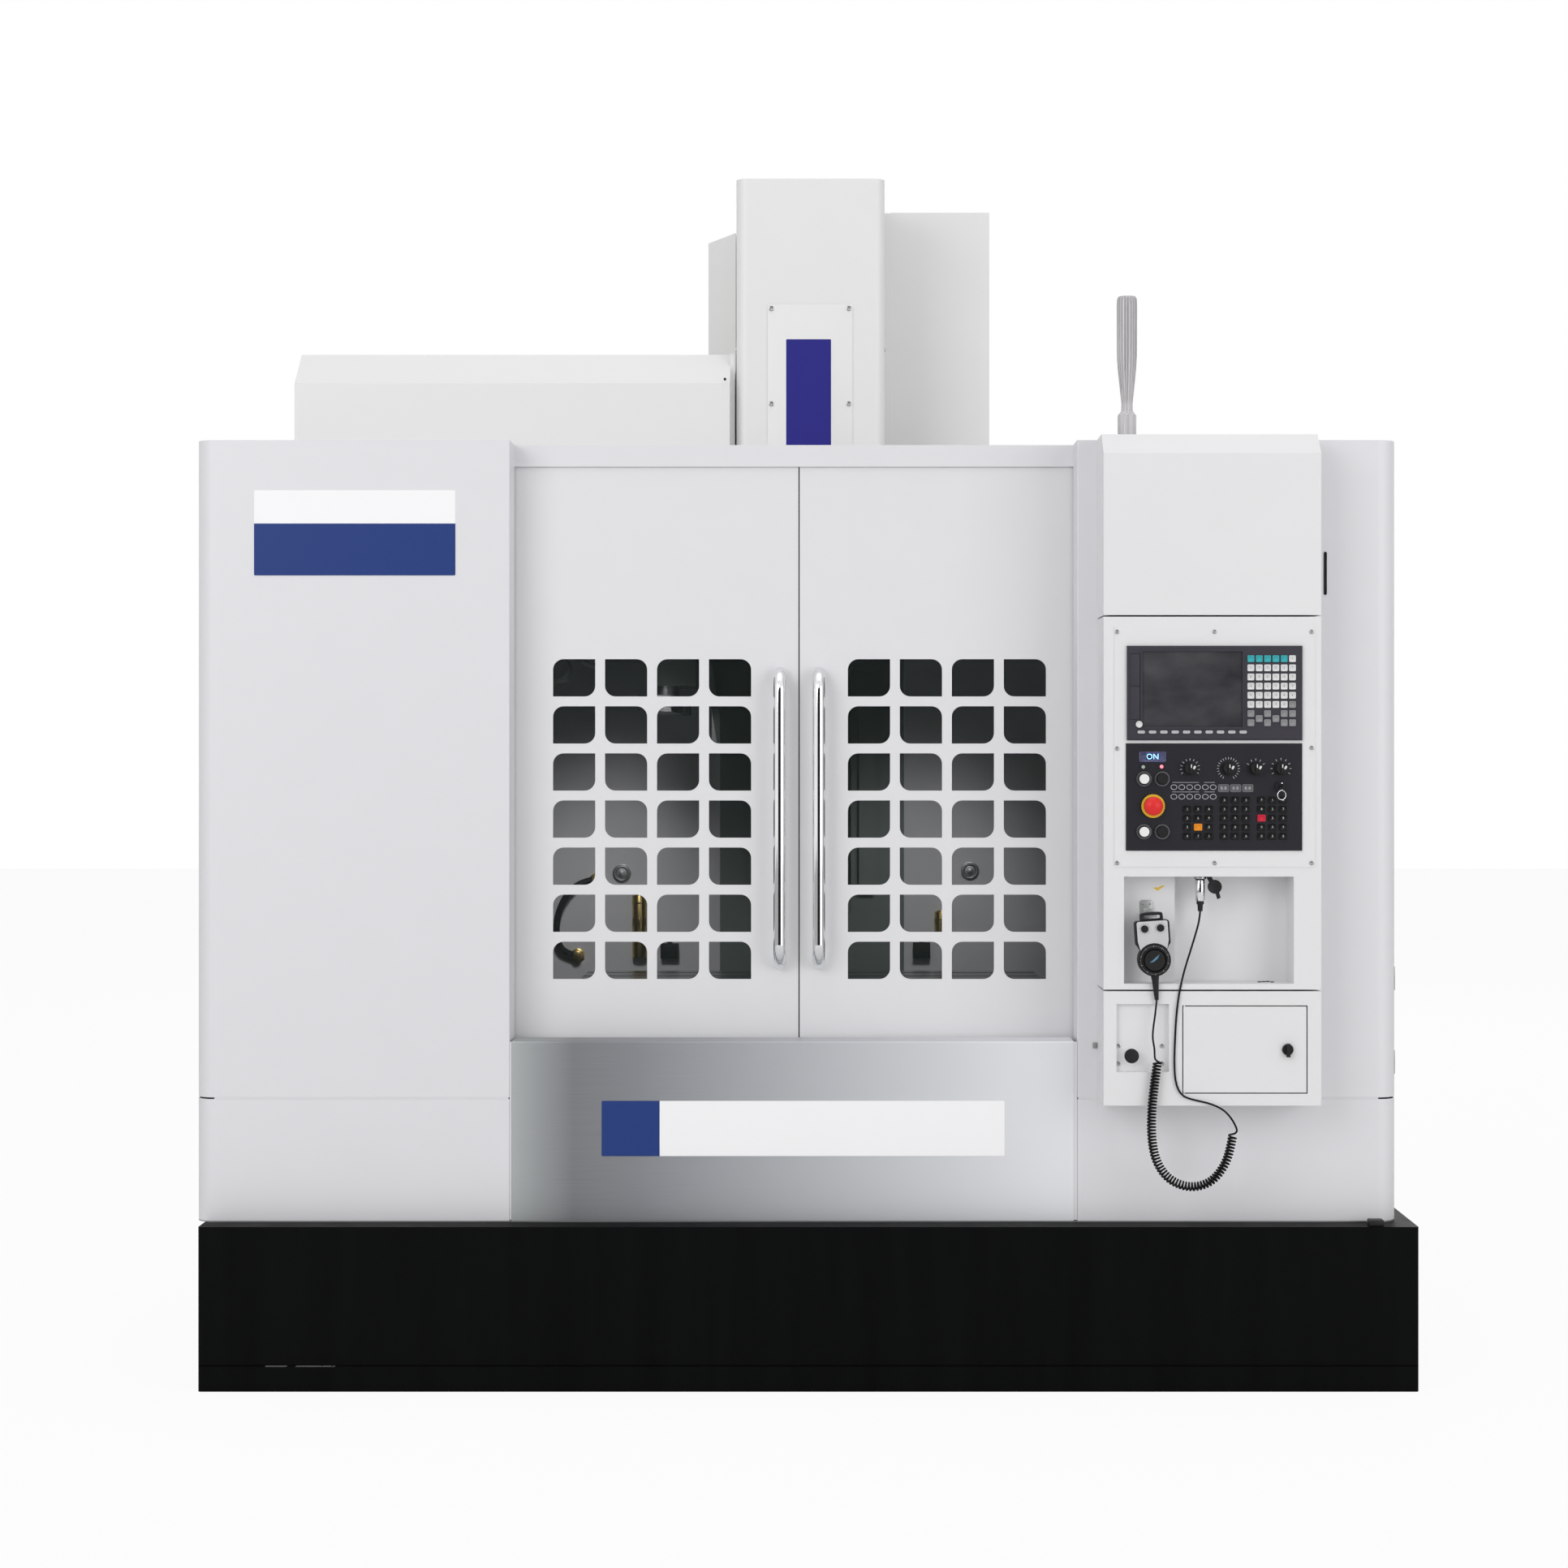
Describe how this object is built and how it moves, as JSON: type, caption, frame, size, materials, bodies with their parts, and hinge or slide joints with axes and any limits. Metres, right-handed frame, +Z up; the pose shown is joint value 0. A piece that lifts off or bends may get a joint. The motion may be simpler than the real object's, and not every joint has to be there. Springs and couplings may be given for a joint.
{
  "type": "cnc machining center",
  "caption": "Vertical machining center in a white enclosure on a black base, with sliding windowed doors, stainless apron, operator console, hand pendant and tool magazine.",
  "frame": {"origin": "on the floor under the middle of the whole machine, without its cord", "axes": "+Z up, +X to the right as seen from the operator's side, -Y towards the operator"},
  "size_m": [2.823, 2.6, 2.918],
  "materials": {
    "black_paint": "semi-gloss black paint",
    "castings": "machine grey paint on cast iron",
    "chrome_tube": "polished chrome",
    "clear_plastic": "clear acrylic lens",
    "cord_rubber": "black cord jacket",
    "dark_plastic": "black plastic",
    "display_plastic": "dark grey plastic",
    "galvanized": "galvanized sheet",
    "ground_steel": "ground steel",
    "key_plastic": "white keys",
    "pane": "clear laminated pane",
    "panel_film": "light grey film",
    "red_plastic": "gloss red",
    "stainless": "brushed stainless",
    "white_enamel": "satin white enamel",
    "white_plastic": "gloss white"
  },
  "bodies": {
    "machine": {"apron": "stainless", "bed": "castings", "changer_frame": "castings", "chip_pan": "galvanized", "column": "castings", "column_side_covers": "white_enamel", "coolant_tank": "black_paint", "cord_coil": "cord_rubber", "cord_lead": "cord_rubber", "cord_tail": "cord_rubber", "display_unit": "display_plastic", "door_rails": "galvanized", "electrical_cabinet": "white_enamel", "keypad_keys": "key_plastic", "left_front_panel": "white_enamel", "levelling_feet": "ground_steel", "lower_box": "white_enamel", "magazine_cover": "white_enamel", "operator_panel": "panel_film", "panel_housing": "white_enamel", "pendant_body": "dark_plastic", "pendant_plug": "ground_steel", "right_front_panel": "white_enamel", "roof_panel": "white_enamel", "shell_panels": "white_enamel", "tower_light": "clear_plastic", "upper_box_cover": "white_enamel"},
    "left_door": {"left_door": "white_enamel", "left_door_glass": "pane", "left_door_handle": "chrome_tube"},
    "right_door": {"right_door": "white_enamel", "right_door_glass": "pane", "right_door_handle": "chrome_tube"},
    "saddle": {"saddle": "castings"},
    "work_table": {"work_table": "castings"},
    "x_screw": {"x_screw": "ground_steel"},
    "y_screw": {"y_screw": "ground_steel"},
    "z_screw": {"z_screw": "ground_steel"},
    "spindle_head": {"spindle_head": "castings", "spindle_motor": "dark_plastic", "head_cover": "white_enamel"},
    "spindle_shaft": {"spindle_shaft": "ground_steel"},
    "tool_magazine": {"tool_magazine": "galvanized"},
    "change_pot": {"change_pot": "dark_plastic"},
    "arm_sleeve": {"arm_sleeve": "ground_steel"},
    "exchange_arm": {"exchange_arm": "ground_steel"},
    "cabinet_door": {"cabinet_door": "white_enamel"},
    "storage_door": {"storage_door": "white_enamel"},
    "storage_latch": {"storage_latch": "dark_plastic"},
    "e_stop_button": {"e_stop_button": "red_plastic"},
    "pendant_dial": {"pendant_dial": "dark_plastic"},
    "program_key": {"program_key": "ground_steel"},
    "feed_start_button": {"feed_start_button": "white_plastic"},
    "feed_hold_button": {"feed_hold_button": "dark_plastic"},
    "power_on_button": {"power_on_button": "white_plastic"},
    "power_off_button": {"power_off_button": "dark_plastic"},
    "feed_override_knob": {"feed_override_knob": "dark_plastic"},
    "spindle_override_knob": {"spindle_override_knob": "dark_plastic"},
    "rapid_override_knob": {"rapid_override_knob": "dark_plastic"},
    "mode_knob": {"mode_knob": "dark_plastic"}
  },
  "joints": [
    {"name": "left_door_slide", "type": "slide", "parent": "machine", "child": "left_door", "axis": [-1, 0, 0], "range_m": [0, 0.56]},
    {"name": "right_door_slide", "type": "slide", "parent": "machine", "child": "right_door", "axis": [1, 0, 0], "range_m": [0, 0.56]},
    {"name": "saddle_y_slide", "type": "slide", "parent": "machine", "child": "saddle", "axis": [0, 1, 0], "range_m": [-0.3, 0.3]},
    {"name": "table_x_slide", "type": "slide", "parent": "saddle", "child": "work_table", "axis": [1, 0, 0], "range_m": [-0.5, 0.5]},
    {"name": "head_z_slide", "type": "slide", "parent": "machine", "child": "spindle_head", "axis": [0, 0, 1], "range_m": [-0.6, 0]},
    {"name": "y_screw_spin", "type": "hinge", "parent": "machine", "child": "y_screw", "pos_m": [0.011, -0.33, 0.5295], "axis": [0, 1, 0], "continuous": true},
    {"name": "x_screw_spin", "type": "hinge", "parent": "saddle", "child": "x_screw", "pos_m": [0.011, -0.33, 0.715], "axis": [1, 0, 0], "continuous": true},
    {"name": "z_screw_spin", "type": "hinge", "parent": "machine", "child": "z_screw", "pos_m": [0.011, 0.372, 1.5], "axis": [0, 0, 1], "continuous": true},
    {"name": "spindle_spin", "type": "hinge", "parent": "spindle_head", "child": "spindle_shaft", "pos_m": [0.011, -0.33, 1.63], "axis": [0, 0, -1], "continuous": true},
    {"name": "magazine_turn", "type": "hinge", "parent": "machine", "child": "tool_magazine", "pos_m": [-0.74, -0.26, 2.045], "axis": [0, 1, 0], "continuous": true},
    {"name": "change_pot_tip", "type": "hinge", "parent": "tool_magazine", "child": "change_pot", "pos_m": [-0.74, -0.33, 1.67], "axis": [1, 0, 0], "range_deg": [0, 90]},
    {"name": "arm_plunge", "type": "slide", "parent": "machine", "child": "arm_sleeve", "axis": [0, 0, 1], "range_m": [-0.105, 0]},
    {"name": "arm_swing", "type": "hinge", "parent": "arm_sleeve", "child": "exchange_arm", "pos_m": [-0.3645, -0.33, 1.59], "axis": [0, 0, 1], "range_deg": [0, 270]},
    {"name": "cabinet_door_hinge", "type": "hinge", "parent": "machine", "child": "cabinet_door", "pos_m": [-0.4455, 1.277, 1.325], "axis": [0, 0, 1], "range_deg": [0, 110]},
    {"name": "storage_door_hinge", "type": "hinge", "parent": "machine", "child": "storage_door", "pos_m": [0.8645, -1.264, 0.793], "axis": [0, 0, -1], "range_deg": [0, 100]},
    {"name": "storage_latch_turn", "type": "hinge", "parent": "storage_door", "child": "storage_latch", "pos_m": [1.098, -1.268, 0.793], "axis": [0, 1, 0], "range_deg": [0, 90]},
    {"name": "e_stop_press", "type": "slide", "parent": "machine", "child": "e_stop_button", "axis": [0, 1, 0], "range_m": [0, 0.006], "stiffness_N_per_m": 1200},
    {"name": "pendant_dial_turn", "type": "hinge", "parent": "machine", "child": "pendant_dial", "pos_m": [0.79378, -1.29, 0.99722], "axis": [0, -1, 0], "continuous": true},
    {"name": "program_key_turn", "type": "hinge", "parent": "machine", "child": "program_key", "pos_m": [1.0805, -1.28, 1.389], "axis": [0, -1, 0], "range_deg": [0, 60]},
    {"name": "feed_start_press", "type": "slide", "parent": "machine", "child": "feed_start_button", "axis": [0, 1, 0], "range_m": [0, 0.004], "stiffness_N_per_m": 600},
    {"name": "feed_hold_press", "type": "slide", "parent": "machine", "child": "feed_hold_button", "axis": [0, 1, 0], "range_m": [0, 0.004], "stiffness_N_per_m": 600},
    {"name": "power_on_press", "type": "slide", "parent": "machine", "child": "power_on_button", "axis": [0, 1, 0], "range_m": [0, 0.004], "stiffness_N_per_m": 600},
    {"name": "power_off_press", "type": "slide", "parent": "machine", "child": "power_off_button", "axis": [0, 1, 0], "range_m": [0, 0.004], "stiffness_N_per_m": 600},
    {"name": "feed_override_turn", "type": "hinge", "parent": "machine", "child": "feed_override_knob", "pos_m": [0.876, -1.28, 1.43], "axis": [0, -1, 0], "range_deg": [-150, 150]},
    {"name": "spindle_override_turn", "type": "hinge", "parent": "machine", "child": "spindle_override_knob", "pos_m": [0.963, -1.28, 1.43], "axis": [0, -1, 0], "range_deg": [-150, 150]},
    {"name": "rapid_override_turn", "type": "hinge", "parent": "machine", "child": "rapid_override_knob", "pos_m": [1.025, -1.28, 1.43], "axis": [0, -1, 0], "range_deg": [-150, 150]},
    {"name": "mode_turn", "type": "hinge", "parent": "machine", "child": "mode_knob", "pos_m": [1.082, -1.28, 1.43], "axis": [0, -1, 0], "range_deg": [-120, 120]}
  ],
  "couplings": [
    {"joint": "y_screw_spin", "follows": "saddle_y_slide", "rad_per_m": -628.32},
    {"joint": "x_screw_spin", "follows": "table_x_slide", "rad_per_m": -628.32},
    {"joint": "z_screw_spin", "follows": "head_z_slide", "rad_per_m": -628.32}
  ]
}
